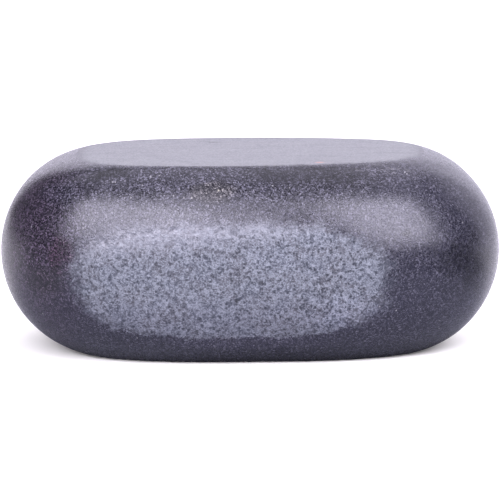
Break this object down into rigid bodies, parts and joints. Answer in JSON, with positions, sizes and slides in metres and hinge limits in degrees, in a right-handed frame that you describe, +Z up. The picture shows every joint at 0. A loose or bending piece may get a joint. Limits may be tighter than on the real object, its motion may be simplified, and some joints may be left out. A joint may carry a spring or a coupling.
{
  "type": "river pebble",
  "caption": "Smooth dark river pebble, a long rounded oval with a honed flat top, a flat underside and a rough pale hollow in its front.",
  "frame": {"origin": "middle of the stone's footprint, on the surface that it rests on", "axes": "+X along the stone, -Y towards its front with the pale hollow, +Z up out of the flat top"},
  "size_m": [0.1, 0.062, 0.0392],
  "materials": {
    "stone": "satin, with a rough matt patch in the front hollow and a paler, matt, honed top"
  },
  "bodies": {
    "root": {"pebble": "stone"}
  },
  "joints": []
}
